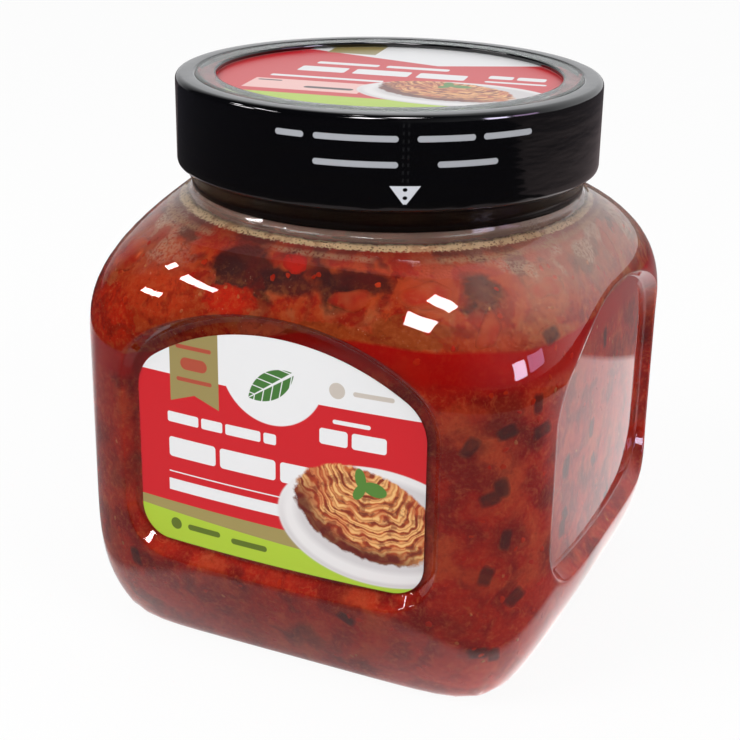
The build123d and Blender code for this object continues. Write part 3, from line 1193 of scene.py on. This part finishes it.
@dataclass(frozen=True)
class FoamLine:
    """The smear of sauce above the contents, and the line of froth that ends it at the neck's root."""

    form: BodyForm
    sink: float = 0.45
    deep: float = 1.2
    dip: float = 0.8
    dip_height: float = 2.6
    count: int = 720
    smear_low: float = 99.4
    froth_low: float = 104.95
    froth_high: float = 105.8

    def material(self) -> bpy.types.Material:
        """Cream froth with brown pits over red-brown sauce."""
        material, net = new_material("foam")
        sauce = Sauce(net)
        pit = net.cells(sauce.raw, 0.7)
        froth = Tint(net, paint(240, 210, 164)).coats(
            ((pit + (sauce.fine - 0.5) * 0.8).under(0.30, 0.2) * 0.8, paint(120, 62, 40)),
            (sauce.middle.over(0.56, 0.1) * 0.5, paint(170, 100, 66)))
        edge = self.froth_low + (sauce.grain - 0.5) * 1.2
        colour = sauce.airy().coats(
            (sauce.height.over(103.4, 2.4) * 0.55, paint(122, 36, 22)),
            (sauce.height.over(edge, 0.2), froth))
        finish = Finish("foam", paint(238, 206, 160), 0.45, 0.2)
        close_material(net, finish.shader(net, Base_Color=colour, Normal=net.bump(pit, 0.4, 0.2)))
        return material

    def build(self) -> None:
        """A closed ribbon on the inside of the wall: its rows follow the body, then the ledge under the neck,
        and its lowest rows dip under the core."""
        form = self.form
        turn = np.linspace(-math.pi, math.pi, self.count, endpoint=False)
        wander = 0.06 * np.sin(turn * 23 + 1) + 0.05 * np.sin(turn * 61 + 2) + 0.04 * np.sin(turn * 137)
        high = self.froth_high + wander
        front = ((share, 0.0) for share in np.linspace(0, 0.96, 12))
        rows = []
        for share, deep in ((0.0, self.deep), *front, (1.0, 0.2), (1.0, self.deep)):
            z = self.smear_low + share * (high - self.smear_low)
            slope = np.clip((z - form.height) / (form.ring_height - form.height), 0, 1)
            ledge = form.top_radius + slope * (form.ring_radius - form.top_radius)
            side = form.reach((turn + math.pi / 4) % (math.pi / 2) - math.pi / 4, z)
            under = self.dip * np.clip(1 - (z - self.smear_low) / self.dip_height, 0, 1)
            reach = np.where(z > form.height, ledge, side) - self.sink - under - deep
            rows.append(np.column_stack([reach * np.cos(turn), reach * np.sin(turn), z - 0.3 * self.sink]))
        rows.append(rows[0])
        points = np.array(rows).reshape(-1, 3)
        points, parts = weld(points, [facing_ring(points, quads(len(rows), len(turn)))])
        finish_piece(make_piece("foam_line", points, parts, self.material()), "contents")


# ---------------------------------------------------------------- cap and sleeve


@dataclass(frozen=True)
class Sleeve:
    """The shrunk film over the cap: black round the side, clear where it folds over the top, and see-through
    on the neck, where a dark layer stands for painted shade under the cap."""

    side_radius: float = 51.55
    top: float = 135.05
    rim_inner: float = 46.8
    lip_radius: float = 41.9
    lip_drop: float = 1.1
    film: float = 0.2
    turn_height: float = 114.15
    gather_height: float = 110.35
    neck_radius: float = 47.9
    low: float = 108.55
    bend: float = 1.35
    fold_radius: float = 0.7
    steps: int = 288
    print_bearing: float = -61.7
    tip: float = 115.4
    perforated: tuple[float, float] = (115.5, 133.5)
    gather_clear: tuple[float, float] = (110.6, 113.2)

    def black(self) -> bpy.types.Material:
        """Glossy black film with faint creases and a few printed marks."""
        material, net = new_material("black_film")
        x, y, z = net.place()
        crease = net.noise(net.vector(x * 0.35, y * 0.35, z * 1.6), 5.0, 2.0, 0.5)
        arc = (y.bearing(x) - math.radians(self.print_bearing)) * self.side_radius
        ticks = (z * (math.pi / 0.85)).sine().over(0.1, 0.4)
        perforation = abs(abs(arc) - 0.55).under(0.22, 0.12) * ticks * z.between(*self.perforated) * 0.012
        triangle = (abs(arc) - (z - self.tip) * 0.75).under(0.0) * z.between(self.tip, self.tip + 4.5)
        drop = z - self.tip - 3.7
        holes = (arc * 0.8).span(drop.math("WRAP", drop, 0.9, -0.9)).under(0.42)
        art = Print(net, arc, z)
        words = art.blocks(130.1, 1.35, 1.35, (-29.1, -22.3), (-20.1, -1.6), (2.4, 15.3), (17.2, 29.6))
        words = words.most(art.blocks(124.5, 1.35, 1.35, (-20.2, -1.6), (6.9, 20.9)))
        marks = perforation.most(words * 0.62).most(triangle * (1.0 - holes))
        colour = Tint(net, paint(3, 3, 4)).lay(marks, paint(204, 207, 214))
        finish = Finish("black_film", paint(3, 3, 4), 0.09, 0.5, 1.65)
        close_material(net, finish.shader(net, Base_Color=colour, Normal=net.bump(crease, 0.25, 0.5)))
        return material

    def clear(self) -> bpy.types.Material:
        """Thin clear film with a grey bloom."""
        material, net = new_material("clear_film")
        bloom = Finish("bloom", paint(160, 166, 164), 0.3, 0.5)
        film = Finish("clear_film", (0.97, 0.97, 0.97), 0.05, 0.5, 1.05, 1.0)
        cover = 0.20 + 0.24 * net.cloud(5.0, 3.0, 0.5)
        close_material(net, net.mix(cover, film.shader(net), bloom.shader(net)))
        return material

    def shaded_neck_film(self) -> bpy.types.Material:
        """See-through film round the neck, mostly covered by a dark layer of painted shade from the cap."""
        material, net = new_material("neck_film_in_shade")
        _, _, z = net.place()
        # painted shade: the dark layer over the film stands for the shadow under the cap
        dark = Finish("dark", paint(12, 6, 5), 0.2, 0.1)
        film = Finish("neck_film_in_shade", (0.5, 0.42, 0.4), 0.05, 0.5, 1.05, 1.0)
        low, high = self.gather_clear
        ends = z.under(low, 0.6).most(z.over(high, 0.8))
        cover = ends * 0.12 + 0.8 + 0.08 * net.cloud(4.0, 3.0, 0.5)
        close_material(net, net.mix(cover, film.shader(net), dark.shader(net)))
        return material

    def ring(self, name: str, profile: Sequence[tuple[float, float]], material: bpy.types.Material,
             *nodes: str) -> None:
        """A thin strip of film turned about the axis: half the film's thickness to each side of a line.

        Args:
            name: the piece's name.
            profile: its middle line as rows of radius and height.
            material: its finish.
            nodes: CAD nodes that it stands for.
        """
        line = np.array(profile, float)
        along = np.gradient(line, axis=0)
        along /= np.linalg.norm(along, axis=1, keepdims=True)
        side = np.column_stack([along[:, 1], -along[:, 0]]) * self.film / 2
        loop = np.vstack([line + side, (line - side)[::-1]])
        points, faces = spin(loop, self.steps, line.mean(axis=0))
        finish_piece(make_piece(name, *weld(points, [faces]), material), "black_film", *nodes)

    def build(self) -> None:
        """The film's parts, from the side over the rim to the lip, and down to the neck."""
        half = self.film / 2
        out, top, bend = self.side_radius - half, self.top - half, self.bend
        fold, lip, neck = self.rim_inner, self.lip_radius, self.neck_radius + half
        side = [(out - 0.6, self.turn_height - 0.25), (out - 0.12, self.turn_height + 0.1),
                (out, self.turn_height + 0.6)]
        side += [(out, height) for height in np.linspace(self.turn_height + 2, top - bend - 0.8, 9)]
        side += [(out - bend + bend * math.cos(t), top - bend + bend * math.sin(t))
                 for t in np.linspace(0, math.pi / 2, 7)]
        side += [(fold + self.fold_radius, top), (fold, top - 0.1)]
        self.ring("film_black", side, self.black(), "sleeve")
        self.ring("film_clear", [(fold, top - 0.1), (fold - 1.5, top - 0.05), (44.0, top - 0.05),
                                 (lip + 0.6, top), (lip + 0.15, top - 0.1)], self.clear())
        self.ring("film_lip", [(lip + half, top - 0.1), (lip + half, top - 0.6),
                               (lip + half, self.top - self.film - self.lip_drop)], self.black())
        self.ring("film_neck_in_shade", [(out - 0.6, self.turn_height - 0.2), (out - 1.6, 113.2),
                                 (self.neck_radius + 1.0, 111.4), (neck + 0.1, self.gather_height),
                                 (neck, 109.4), (neck, self.low)], self.shaded_neck_film())


@dataclass(frozen=True)
class Cap:
    """The black plastic cap under the film."""

    finish: Finish = Finish("black_plastic", paint(14, 14, 15), 0.3)

    def dress(self) -> None:
        """Gives the cap node its finish."""
        material, net = new_material(self.finish.name)
        close_material(net, self.finish.shader(net, Normal=net.bump(net.cloud(0.8), 0.1, 0.1)))
        dress_node("cap", material)


# ---------------------------------------------------------------- labels


class Print:
    """Shapes that both labels are printed with, drawn from two coordinates in millimetres."""

    WHITE = paint(228, 228, 229)
    RED = paint(202, 14, 28)
    KHAKI = paint(158, 142, 84)
    LIME = paint(170, 198, 50)
    GOLD = paint(152, 136, 82)
    SHADE = paint(186, 180, 182)

    def __init__(self, net: Net, across: Wire, upward: Wire):
        """Takes what the shapes are drawn with.

        Args:
            net: the tree they are added to.
            across: the coordinate to the right.
            upward: the coordinate upwards.
        """
        self.net = net
        self.across = across
        self.upward = upward

    def box(self, left: float, right: float, low: float, high: float) -> Wire:
        """A mask of a rectangle."""
        return self.across.between(left, right) * self.upward.between(low, high)

    def oval(self, x: float, y: float, half_x: float, half_y: float, tilt: float = 0.0,
             soft: float = 0.02) -> Wire:
        """A mask of an ellipse.

        Args:
            x: centre across.
            y: centre upward.
            half_x: half its length.
            half_y: half its width.
            tilt: turn in degrees.
            soft: edge, in shares of its size.

        Returns:
            The mask.
        """
        return self.oval_distance(x, y, half_x, half_y, tilt).under(1.0, soft)

    def oval_distance(self, x: float, y: float, half_x: float, half_y: float, tilt: float = 0.0) -> Wire:
        """Distance from an ellipse's centre in shares of its size.

        Args:
            x: centre across.
            y: centre upward.
            half_x: half its length.
            half_y: half its width.
            tilt: turn in degrees.

        Returns:
            The distance, 1 at the edge.
        """
        turn = math.radians(tilt)
        dx, dy = self.across - x, self.upward - y
        first = (dx * math.cos(turn) + dy * math.sin(turn)) / half_x
        second = (dy * math.cos(turn) - dx * math.sin(turn)) / half_y
        return first.span(second)

    def bar(self, left: float, right: float, middle: float, thick: float, corner: float = 99.0) -> Wire:
        """A mask of a bar with rounded corners.

        Args:
            left: its left end.
            right: its right end.
            middle: the height of its middle line.
            thick: its thickness.
            corner: the corners' radius, at most half the thickness.

        Returns:
            The mask.
        """
        corner = min(corner, thick / 2)
        reach = (abs(self.across - (left + right) / 2) - ((right - left) / 2 - corner)).most(0.0)
        rise = (abs(self.upward - middle) - (thick / 2 - corner)).most(0.0)
        return reach.span(rise).under(corner)

    def blocks(self, middle: float, thick: float, corner: float, *ends: tuple[float, float]) -> Wire:
        """A mask of a line of blocks that stand for words.

        Args:
            middle: the height of the line's middle.
            thick: the blocks' thickness.
            corner: their corners' radius.
            ends: the left and right end of each.

        Returns:
            The mask.
        """
        mask = self.bar(*ends[0], middle, thick, corner)
        for left, right in ends[1:]:
            mask = mask.most(self.bar(left, right, middle, thick, corner))
        return mask

    def dish(self, colour: Tint, x: float, y: float, size: float) -> Tint:
        """A white plate with a swirl of red leaves.

        Args:
            colour: what it lies on.
            x: the plate's centre across.
            y: its centre upward.
            size: its scale, 1 for a plate 48 across.

        Returns:
            The colour with the dish on it.
        """
        net = self.net
        rim = self.oval_distance(x, y, 24 * size, 14.5 * size).between(0.93, 1.0, 0.05)
        mass = self.oval_distance(x - 2.5 * size, y + 2.5 * size, 17.5 * size, 10.8 * size, -14)
        wobble = net.noise(net.vector(self.across, self.upward, 0.0), 3.0 * size, 3.0, 0.6)
        mass = mass + (wobble - 0.5) * 0.22
        bend = self.oval_distance(x - 2 * size, y + 13 * size, 16 * size, 15 * size, -10)
        drift = net.noise(net.vector(self.across, self.upward, 7.0), 7.0 * size, 2.0, 0.5)
        strand = (bend * 44.0 + drift * 26.0 + wobble * 3.0).sine()
        thin = (bend * 97.0 + drift * 50.0 + wobble * 6.0).sine()
        pool = (self.upward + self.across * 0.5).under(y + x * 0.5 - 2 * size, 8 * size)
        food = Tint(net, paint(206, 108, 48)).coats(
            (strand.over(0.0, 1.5) * 0.75, paint(234, 182, 110)),
            (thin.over(0.2, 1.2) * 0.35, paint(242, 206, 142)),
            (strand.under(-0.5, 0.6) * wobble.over(0.45, 0.15) * 0.9, paint(116, 36, 16)),
            (thin.under(-0.5, 0.6) * 0.4, paint(150, 52, 22)),
            (drift.over(0.53, 0.08) * 0.5, paint(178, 58, 22)),
            (wobble.over(0.58, 0.08) * 0.6, paint(120, 30, 12)),
            (mass.over(0.74, 0.2) * pool * 0.9, paint(92, 18, 12)))
        leaves = self.oval(x - 3.6 * size, y + 11.2 * size, 2.6 * size, 1.3 * size, 100, 0.1)
        leaves = leaves.most(self.oval(x - 0.2 * size, y + 9.2 * size, 2.9 * size, 1.7 * size, -12, 0.1))
        leaves = leaves.most(self.oval(x - 3.9 * size, y + 8.0 * size, 2.2 * size, 1.2 * size, 60, 0.1))
        return colour.coats(
            (self.oval(x, y, 24 * size, 14.5 * size), paint(226, 223, 223)),
            (self.oval(x + size, y + 0.8 * size, 20.5 * size, 11.5 * size, 0, 0.12) * 0.6, self.SHADE),
            (rim * self.upward.under(y, 12 * size) * 0.5, self.SHADE),
            (mass.under(1.0, 0.05), food),
            (leaves, paint(84, 130, 50)))


@dataclass(frozen=True)
class FrontLabel:
    """The printed paper in the front panel."""

    finish: Finish = Finish("label_paper", Print.RED, 0.32, 0.5, 1.5)
    white_from: float = 72.3
    leaf_place: tuple[float, float] = (-0.6, 74.6)
    leaf_lean: float = 34.0

    def dress(self) -> None:
        """Draws fields of colour, a ribbon, bars and a dish on the label."""
        material, net = new_material(self.finish.name)
        x, _, z = net.place()
        art = Print(net, x, z)
        tail = abs(x + 20.8) * -0.36 + 68.1
        lean = math.radians(self.leaf_lean)
        right, up = x - self.leaf_place[0], z - self.leaf_place[1]
        along = right * math.cos(lean) + up * math.sin(lean)
        aside = abs(up * math.cos(lean) - right * math.sin(lean))
        leaf = along.span(aside + 6.0).under(9.2)
        ribs = (aside - 0.02 * along).under(0.24).most((along * 2.2 + aside * 2.2).sine().over(0.93, 0.1))
        words = art.bar(14.6, 23.6, 68.9, 1.0).most(art.bar(-28.4, 2.0, 47.6, 0.3))
        for line in ((61.6, 2.6, 0.5, (-28.4, -19.9), (-19.1, -13.4), (-12.6, -3.4), (-2.6, 0.6)),
                     (54.0, 5.0, 0.8, (-28.2, -15.4), (-14.2, 0.4), (1.6, 14.0)),
                     (65.0, 3.8, 0.7, (11.4, 18.2), (19.2, 27.4))):
            words = words.most(art.blocks(*line))
        ribbon = art.bar(-24.4, -17.2, 75.6, 3.0)
        for middle in (79.6, 71.6):
            ribbon = ribbon.most(art.bar(-25.6, -16.0, middle, 1.0))
        foot = art.bar(-23.6, -14.6, 33.9, 1.5).most(art.bar(-11.6, -2.0, 33.3, 1.5))
        colour = Tint(net, art.RED).coats(
            (z.over(self.white_from).most(art.oval(-0.5, 78.1, 13.0, 13.0)), art.WHITE),
            (x.between(-27.4, -14.2) * z.over(tail), art.GOLD),
            (ribbon * 0.8, paint(178, 44, 40)),
            (leaf * (1.0 - ribs), paint(66, 118, 52)),
            (art.oval(15.6, 76.3, 1.9, 1.9).most(art.bar(19.4, 29.0, 76.2, 1.1)), paint(196, 186, 176)),
            (words, art.WHITE),
            (art.box(-28.5, 3.0, 42.7, 45.7), art.WHITE),
            (z.under(39.6 - (x + 15) * 0.008), art.KHAKI),
            (z.under(36.4 - (x + 15) * 0.045), art.LIME),
            (art.oval(-26.9, 34.0, 1.5, 1.5).most(foot), paint(92, 112, 30)))
        colour = art.dish(colour, 25.0, 45.0, 1.0)
        close_material(net, self.finish.shader(net, Base_Color=colour))
        dress_node("front_label", material)


@dataclass(frozen=True)
class CapLabel:
    """The printed disc on the cap."""

    finish: Finish = Finish("cap_paper", Print.RED, 0.3, 0.5, 1.5)
    turn: float = 10.0

    def dress(self) -> None:
        """Draws the disc's fields, bars and dish."""
        material, net = new_material(self.finish.name)
        x, y, _ = net.place()
        angle = math.radians(self.turn)
        across = x * math.cos(angle) + y * math.sin(angle)
        upward = y * math.cos(angle) - x * math.sin(angle)
        art = Print(net, across, upward)
        words = art.bar(-28, 0, -6.4, 2.2, 0.5)
        for line in ((4.4, 6.4, 0.8, (-24, -12), (-10, 4), (6, 18)), (13.0, 3.0, 0.8, (-22, -6), (-4, 12)),
                     (8.0, 4.0, 0.8, (23, 29), (30, 37)), (2.0, 1.8, 0.8, (23, 38))):
            words = words.most(art.blocks(*line))
        date = art.bar(-29, -23, -13.0, 1.2).most(art.bar(-16, -4, -18.4, 2.2))
        colour = Tint(net, art.RED).coats(
            (upward.over(18.0 + abs(across - 8) * 0.35), art.WHITE),
            (across.between(-24, -11) * upward.over(28.0), art.GOLD),
            (words, art.WHITE),
            (art.box(-30, -2, -22.5, -11.0), paint(236, 186, 180)),
            (date, paint(60, 50, 50)),
            (upward.under(-26.5), art.LIME))
        colour = art.dish(colour, 19.0, -15.0, 0.95)
        close_material(net, self.finish.shader(net, Base_Color=colour))
        dress_node("cap_label", material)


# ---------------------------------------------------------------- studio


@dataclass(frozen=True)
class Camera:
    """Where the picture is taken from, in degrees and millimetres."""

    azimuth: float = 24.1146
    elevation: float = 20.0344
    distance: float = 383.67
    roll: float = 1.1089
    target: float = 70.183
    lens: float = 72.7182
    shift_x: float = -0.020086
    shift_y: float = -0.064051
    sensor: float = 36.0

    def build(self) -> None:
        """Adds the camera and makes it the scene's own."""
        azimuth, elevation, roll = (math.radians(v) for v in (self.azimuth, self.elevation, self.roll))
        level = math.cos(elevation)
        back = Vector((math.sin(azimuth) * level, -math.cos(azimuth) * level, math.sin(elevation)))
        right = Vector((0, 0, 1)).cross(back).normalized()
        up = back.cross(right)
        rolled_right = right * math.cos(roll) + up * math.sin(roll)
        rolled_up = up * math.cos(roll) - right * math.sin(roll)
        place = (Vector((0, 0, self.target)) + back * self.distance) * MM
        data = bpy.data.cameras.new("camera")
        data.lens, data.sensor_width, data.sensor_fit = self.lens, self.sensor, "HORIZONTAL"
        data.shift_x, data.shift_y = self.shift_x, self.shift_y
        data.clip_start, data.clip_end = 0.01, 20.0
        camera = bpy.data.objects.new("camera", data)
        camera.matrix_world = Matrix((
            (rolled_right.x, rolled_up.x, back.x, place.x), (rolled_right.y, rolled_up.y, back.y, place.y),
            (rolled_right.z, rolled_up.z, back.z, place.z), (0, 0, 0, 1)))
        bpy.context.scene.collection.objects.link(camera)
        bpy.context.scene.camera = camera


@dataclass(frozen=True)
class Studio:
    """A pale floor, an even room and soft lamps."""

    floor_half: float = 3000.0
    table_radius: float = 275.0
    table_back: float = 214.0
    foot_radius: float = 86.0
    room: float = 0.62
    aim_height: float = 60.0
    shade_right: float = 36.0
    shade_left: float = -28.0
    fade_radius: float = 480.0
    fade_width: float = 380.0
    pane_strength: float = 28.0
    pane_distance: float = 1500.0
    pane_centre: float = 80.0
    pane_corners: tuple[tuple[tuple[float, float], ...], ...] = (
        ((20, 71), (42, 78), (58, 69), (37, 64)), ((-1, 44), (2, 57), (22, 55), (12, 43)),
        ((74, 3), (74, 19), (87, 19), (87, 4)), ((90, 5), (90, 20), (106, 18), (106, 6)),
        ((-57, 33), (-57, 36), (-38, 30), (-38, 28)), ((-76, 35), (-76, 38), (-70, 38), (-70, 35)),
        ((-65, 20), (-65, 23), (-52, 23), (-52, 20)), ((-103, 80), (-91, 83), (-72, 83), (-72, 80)))

    def floor(self) -> None:
        """A white floor. To glossy rays it glows instead with a painted reflection: a round table, darker
        close round the jar for painted shade, and a darker room beyond.
        """
        material, net = new_material("floor")
        x, y, _ = net.place()
        path = net.add("ShaderNodeLightPath")
        matte = Finish("floor", (0.86, 0.86, 0.86), 0.6, 0.2).shader(net)
        white = net.add("ShaderNodeEmission", None, {"Color": (1.0, 1.0, 1.0), "Strength": 1.0})
        away = x.span(y)
        near = away.under(self.foot_radius, 6.0) * y.under(10.0, 40.0)
        far = (y / away.most(1.0)).over(0.25, 0.5)
        close = Tint(net, (0.55, 0.5, 0.5)).coats(
            (x.over(self.shade_right, 36.0), (1.5, 1.36, 1.36)),
            (x.under(self.shade_left, 30.0), (0.85, 0.8, 0.8)))
        # painted reflection: the dark base tone is painted shade round the jar; the masks lay the brighter
        # table and the dark room over it
        table = Tint(net, (0.34, 0.29, 0.29)).coats(
            (near, close),
            (far, (1.3, 1.2, 1.2)),
            (away.over(self.table_radius, 12.0), (0.04, 0.035, 0.035)),
            ((y + x * 0.33).over(self.table_back, 7.0), (0.35, 0.28, 0.28)),
            (away.over(self.fade_radius, self.fade_width) * 0.8, (0.03, 0.03, 0.04)))
        painted_reflection_glow = net.add("ShaderNodeEmission", None, {"Color": table, "Strength": 1.0})
        shaded = net.mix(net.wire(path, "Is Glossy Ray"), matte, painted_reflection_glow)
        close_material(net, net.mix(net.wire(path, "Is Camera Ray") * 0.93, shaded, white))
        half = self.floor_half
        points = np.array([[-half, -half, 0], [half, -half, 0], [half, half, 0], [-half, half, 0]], float)
        make_piece("floor", points, [np.array([[0, 1, 2, 3]])], material, smooth=False)

    def world(self) -> None:
        """Even light, white behind the object, darker for reflections."""
        world = bpy.data.worlds.new("room")
        world.use_nodes = True
        bpy.context.scene.world = world
        net = Net(world.node_tree)
        way = net.add("ShaderNodeTexCoord").outputs["Generated"]
        split = net.add("ShaderNodeSeparateXYZ", None, {0: way})
        x, y = (net.wire(split, axis) for axis in range(2))
        path = net.add("ShaderNodeLightPath")
        camera, glossy = net.wire(path, "Is Camera Ray"), net.wire(path, "Is Glossy Ray")
        grey = Tint(net, (0.02, 0.02, 0.025)).coats(
            (x.over(0.62, 0.5) * 0.35, (0.5, 0.5, 0.53)),
            ((y - x.under(0.0, 0.3) * 0.15).over(0.40, 0.6), (0.92, 0.93, 0.95)))
        colour = Tint(net, (self.room, self.room, self.room)).lay(glossy, grey).lay(camera, (1.0, 1.0, 1.0))
        shade = net.add("ShaderNodeBackground", None, {"Color": colour, "Strength": 1.0})
        net.add("ShaderNodeOutputWorld", None, {"Surface": shade.outputs[0]})

    def lamp(self, name: str, place: Sequence[float], size: float, power: float) -> None:
        """Adds one square soft lamp.

        Args:
            name: its name.
            place: its centre in millimetres.
            size: its width in millimetres.
            power: watts.
        """
        data = bpy.data.lights.new(name, "AREA")
        data.shape, data.size, data.energy = "SQUARE", size * MM, power
        lamp = bpy.data.objects.new(name, data)
        lamp.location = Vector(place) * MM
        way = Vector((0, 0, self.aim_height)) - Vector(place)
        lamp.rotation_euler = way.to_track_quat("-Z", "Y").to_euler()
        lamp.visible_glossy = False
        bpy.context.scene.collection.objects.link(lamp)

    def panes(self) -> None:
        """Small bright panes that show only as highlights, each given by its corners' bearings and heights
        in degrees; the two on the right are dimmer."""
        material, net = new_material("pane")
        x, y, _ = net.place()
        right = x.over(1250.0, 20.0)
        tone = Tint(net, (1.0, 0.97, 1.0)).coats(
            (right, (0.50, 0.45, 0.60)),
            (right * y.over(-40.0, 20.0), (0.13, 0.09, 0.15)))
        glow = net.add("ShaderNodeEmission", None, {"Color": tone, "Strength": self.pane_strength})
        none = net.add("ShaderNodeBsdfTransparent")
        glossy = net.wire(net.add("ShaderNodeLightPath"), "Is Glossy Ray")
        close_material(net, net.mix(glossy, none, glow))
        bearing, height = np.moveaxis(np.radians(np.array(self.pane_corners, float)), -1, 0)
        level = np.cos(height)
        spots = self.pane_distance * np.stack(
            [np.sin(bearing) * level, -np.cos(bearing) * level, np.sin(height)], axis=-1)
        faces = np.arange(len(spots) * 4).reshape(-1, 4)
        spots = spots.reshape(-1, 3) + [0, 0, self.pane_centre]
        make_piece("panes", spots, [faces], material, smooth=False)

    def build(self) -> None:
        """Adds it all."""
        self.floor()
        self.world()
        self.panes()
        self.lamp("key", (-500, -700, 900), 500, 7.0)
        self.lamp("fill", (900, -300, 700), 500, 4.0)
        bpy.context.scene.view_settings.view_transform = "Standard"


def main() -> None:
    """Builds every part in order and hands it to the frame."""
    logging.basicConfig(level=logging.INFO, format="%(name)s %(message)s")
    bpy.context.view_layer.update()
    form = BodyForm()
    ClearJar(form).build()
    Contents(form).build()
    for bits in loose_pieces(form):
        bits.build()
    FoamLine(form).build()
    Cap().dress()
    Sleeve().build()
    FrontLabel().dress()
    CapLabel().dress()
    Studio().build()
    Camera().build()


if __name__ == "__main__":
    main()
